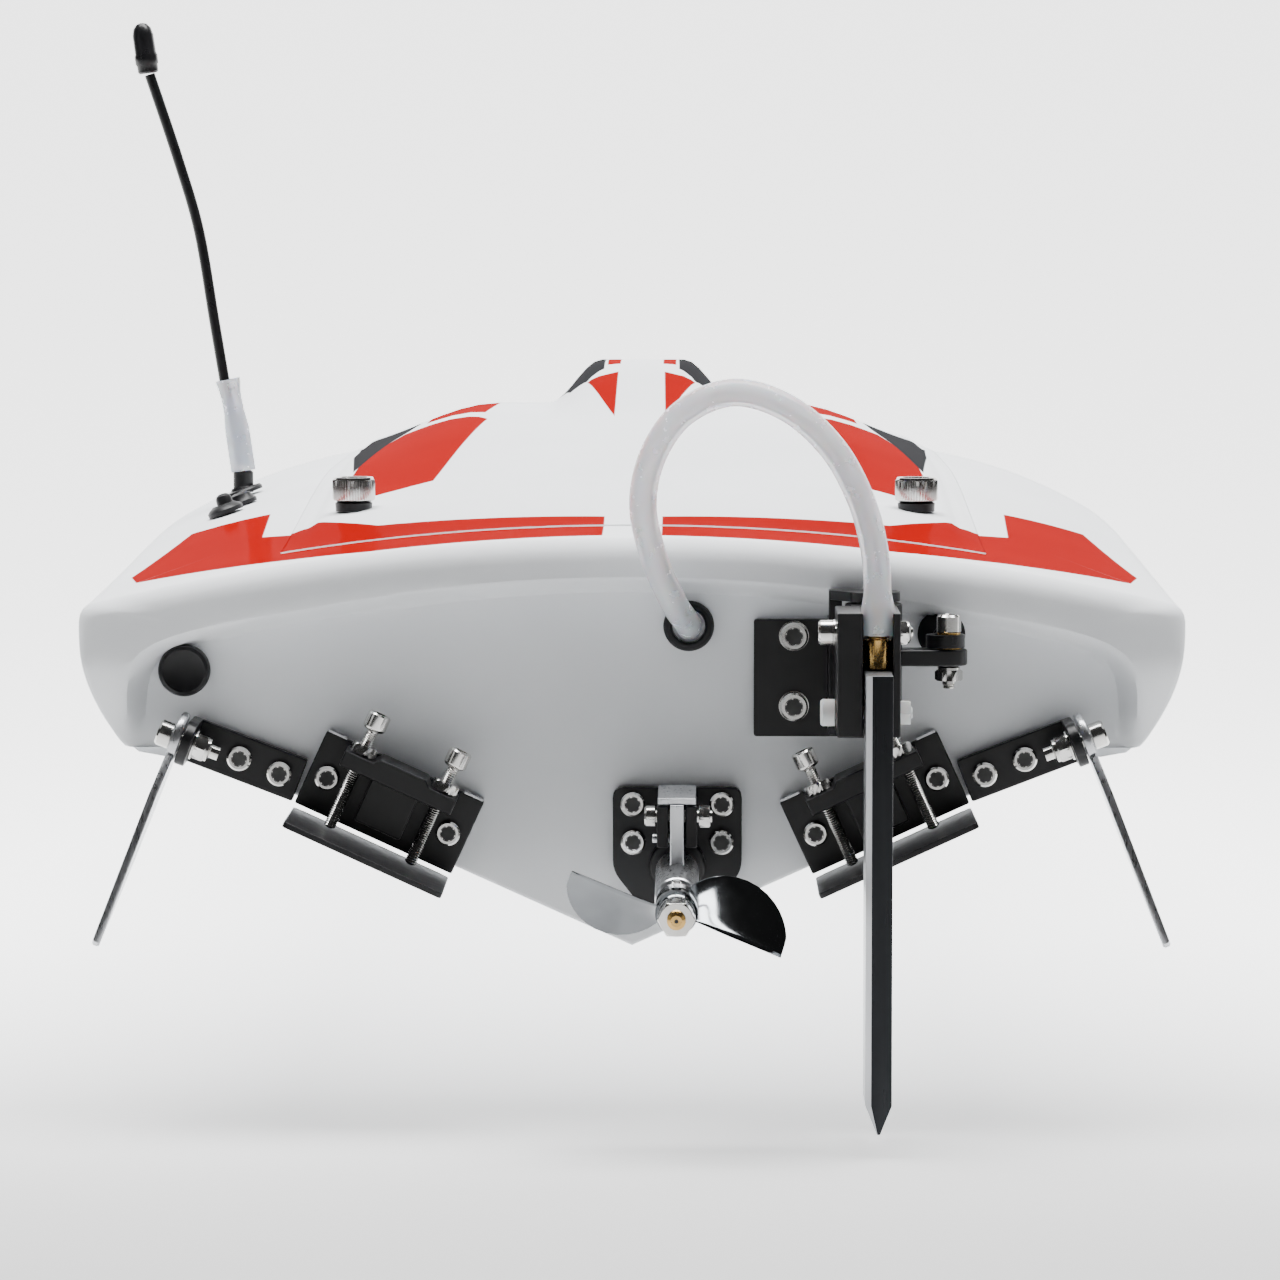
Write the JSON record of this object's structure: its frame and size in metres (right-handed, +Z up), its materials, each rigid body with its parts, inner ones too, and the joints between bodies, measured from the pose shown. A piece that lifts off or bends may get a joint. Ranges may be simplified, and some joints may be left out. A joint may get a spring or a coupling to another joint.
{
  "type": "radio controlled racing boat",
  "caption": "Radio controlled electric deep-V racing boat with lift-off hatch, steering rudder, trim tabs, turn fins, water cooled motor and a propeller on a tilted shaft.",
  "frame": {"origin": "on the keel line at the foot of the transom", "axes": "+X to starboard, +Y towards the bow, +Z up"},
  "size_m": [0.2478, 0.862, 0.2405],
  "materials": {
    "gelcoat": "high gloss white moulded glass fibre with red and black trim",
    "black_anodised": "satin black anodised aluminium",
    "aluminium": "bright machined aluminium",
    "steel": "bright stainless steel",
    "polished_prop": "mirror polished metal",
    "brass": "bare brass",
    "rubber": "matte black rubber",
    "black_plastic": "satin black plastic",
    "nylon": "natural white nylon",
    "silicone": "milky translucent silicone",
    "blue_anodised": "blue anodised aluminium",
    "battery_wrap": "dark shrink wrap",
    "foam": "closed cell foam"
  },
  "bodies": {
    "hull": {"hull_shell": "gelcoat", "deck_shell": "gelcoat", "rudder_bracket": "black_anodised", "strut_bracket": "black_anodised", "motor_case": "black_anodised", "trim_bracket_port": "black_anodised", "trim_bracket_starboard": "black_anodised", "fin_bracket_port": "black_anodised", "fin_bracket_starboard": "black_anodised", "drive_strut": "aluminium", "motor_mount": "aluminium", "rudder_pin": "steel", "strut_bolt": "steel", "fin_bolt_port": "steel", "fin_bolt_starboard": "steel", "stuffing_tube": "brass", "antenna_base": "rubber", "antenna_cap": "rubber", "switch_boot": "rubber", "hose_grommet": "rubber", "pushrod_boot": "rubber", "antenna_rod": "black_plastic", "steering_servo": "black_plastic", "speed_controller": "black_plastic", "receiver_box": "black_plastic", "receiver": "black_plastic", "water_hose": "silicone", "antenna_sleeve": "silicone", "cooling_jacket": "blue_anodised", "battery_port": "battery_wrap", "battery_starboard": "battery_wrap", "battery_bed_port": "foam", "battery_bed_starboard": "foam"},
    "hatch": {"hatch": "gelcoat"},
    "thumb_screw_port": {"thumb_screw_port": "steel"},
    "thumb_screw_starboard": {"thumb_screw_starboard": "steel"},
    "drain_plug": {"drain_plug": "rubber"},
    "switch_button": {"switch_button": "rubber"},
    "rudder": {"steering_block": "black_anodised", "rudder_blade": "aluminium", "rudder_pivot_bolt": "steel", "rudder_shear_bolt": "nylon", "water_nipple": "brass", "tiller_arm": "black_anodised", "tiller_ball_bolt": "steel"},
    "pushrod": {"pushrod": "steel"},
    "servo_arm": {"servo_arm": "black_plastic"},
    "drive_shaft": {"prop_shaft": "steel", "drive_dog": "steel", "propeller": "polished_prop", "prop_nut": "steel", "shaft_coupler": "aluminium"},
    "trim_tab_port": {"trim_tab_port": "black_anodised"},
    "trim_screw_inner_port": {"trim_screw_inner_port": "steel"},
    "trim_screw_outer_port": {"trim_screw_outer_port": "steel"},
    "turn_fin_port": {"turn_fin_port": "aluminium"},
    "trim_tab_starboard": {"trim_tab_starboard": "black_anodised"},
    "trim_screw_inner_starboard": {"trim_screw_inner_starboard": "steel"},
    "trim_screw_outer_starboard": {"trim_screw_outer_starboard": "steel"},
    "turn_fin_starboard": {"turn_fin_starboard": "aluminium"}
  },
  "joints": [
    {"name": "hatch_lift", "type": "slide", "parent": "hull", "child": "hatch", "axis": [0, 0, 1], "range_m": [0, 0.08]},
    {"name": "drain_plug_pull", "type": "slide", "parent": "hull", "child": "drain_plug", "axis": [0, -1, 0], "range_m": [0, 0.012]},
    {"name": "switch_press", "type": "slide", "parent": "hull", "child": "switch_button", "axis": [0.2756, 0, -0.9613], "range_m": [0, 0.0015], "stiffness_N_per_m": 200},
    {"name": "rudder_steer", "type": "hinge", "parent": "hull", "child": "rudder", "pos_m": [0.0525, -0.02, 0.063], "axis": [0, 0, 1], "range_deg": [-25, 25], "deforming": ["water_hose", "pushrod_boot"]},
    {"name": "pushrod_slide", "type": "slide", "parent": "hull", "child": "pushrod", "axis": [0, 1, 0], "range_m": [-0.0075, 0.0075]},
    {"name": "servo_arm_turn", "type": "hinge", "parent": "hull", "child": "servo_arm", "pos_m": [0.0525, 0.07, 0.063], "axis": [0, 0, 1], "range_deg": [-26, 26]},
    {"name": "prop_spin", "type": "hinge", "parent": "hull", "child": "drive_shaft", "pos_m": [0.01, -0.05187, 0.01487], "axis": [0, 0.9976, 0.0698], "continuous": true},
    {"name": "thumb_screw_turn_port", "type": "hinge", "parent": "hatch", "child": "thumb_screw_port", "pos_m": [-0.065, 0.062, 0.095], "axis": [0, 0, 1], "continuous": true},
    {"name": "thumb_screw_turn_starboard", "type": "hinge", "parent": "hatch", "child": "thumb_screw_starboard", "pos_m": [0.065, 0.062, 0.095], "axis": [0, 0, 1], "continuous": true},
    {"name": "trim_tab_hinge_port", "type": "hinge", "parent": "hull", "child": "trim_tab_port", "pos_m": [-0.05782, -0.0006, 0.02256], "axis": [0.9092, 0, -0.4163], "range_deg": [-2, 8]},
    {"name": "trim_screw_inner_travel_port", "type": "slide", "parent": "hull", "child": "trim_screw_inner_port", "axis": [-0.4163, 0, -0.9092], "range_m": [-0.0005, 0.0016]},
    {"name": "trim_screw_outer_travel_port", "type": "slide", "parent": "hull", "child": "trim_screw_outer_port", "axis": [-0.4163, 0, -0.9092], "range_m": [-0.0005, 0.0016]},
    {"name": "trim_tab_hinge_starboard", "type": "hinge", "parent": "hull", "child": "trim_tab_starboard", "pos_m": [0.05782, -0.0006, 0.02256], "axis": [0.9092, 0, 0.4163], "range_deg": [-2, 8]},
    {"name": "trim_screw_inner_travel_starboard", "type": "slide", "parent": "hull", "child": "trim_screw_inner_starboard", "axis": [0.4163, 0, -0.9092], "range_m": [-0.0005, 0.0016]},
    {"name": "trim_screw_outer_travel_starboard", "type": "slide", "parent": "hull", "child": "trim_screw_outer_starboard", "axis": [0.4163, 0, -0.9092], "range_m": [-0.0005, 0.0016]},
    {"name": "turn_fin_pivot_port", "type": "hinge", "parent": "hull", "child": "turn_fin_port", "pos_m": [-0.0992, -0.01, 0.04688], "axis": [-0.9336, 0, 0.3584], "range_deg": [0, 45]},
    {"name": "turn_fin_pivot_starboard", "type": "hinge", "parent": "hull", "child": "turn_fin_starboard", "pos_m": [0.0992, -0.01, 0.04688], "axis": [-0.9336, 0, -0.3584], "range_deg": [0, 45]}
  ],
  "couplings": [
    {"joint": "pushrod_slide", "follows": "rudder_steer", "m_per_rad": 0.0163},
    {"joint": "servo_arm_turn", "follows": "rudder_steer", "ratio": 1},
    {"joint": "trim_screw_inner_travel_port", "follows": "trim_tab_hinge_port", "m_per_rad": 0.0104},
    {"joint": "trim_screw_outer_travel_port", "follows": "trim_tab_hinge_port", "m_per_rad": 0.0104},
    {"joint": "trim_screw_inner_travel_starboard", "follows": "trim_tab_hinge_starboard", "m_per_rad": 0.0104},
    {"joint": "trim_screw_outer_travel_starboard", "follows": "trim_tab_hinge_starboard", "m_per_rad": 0.0104}
  ]
}
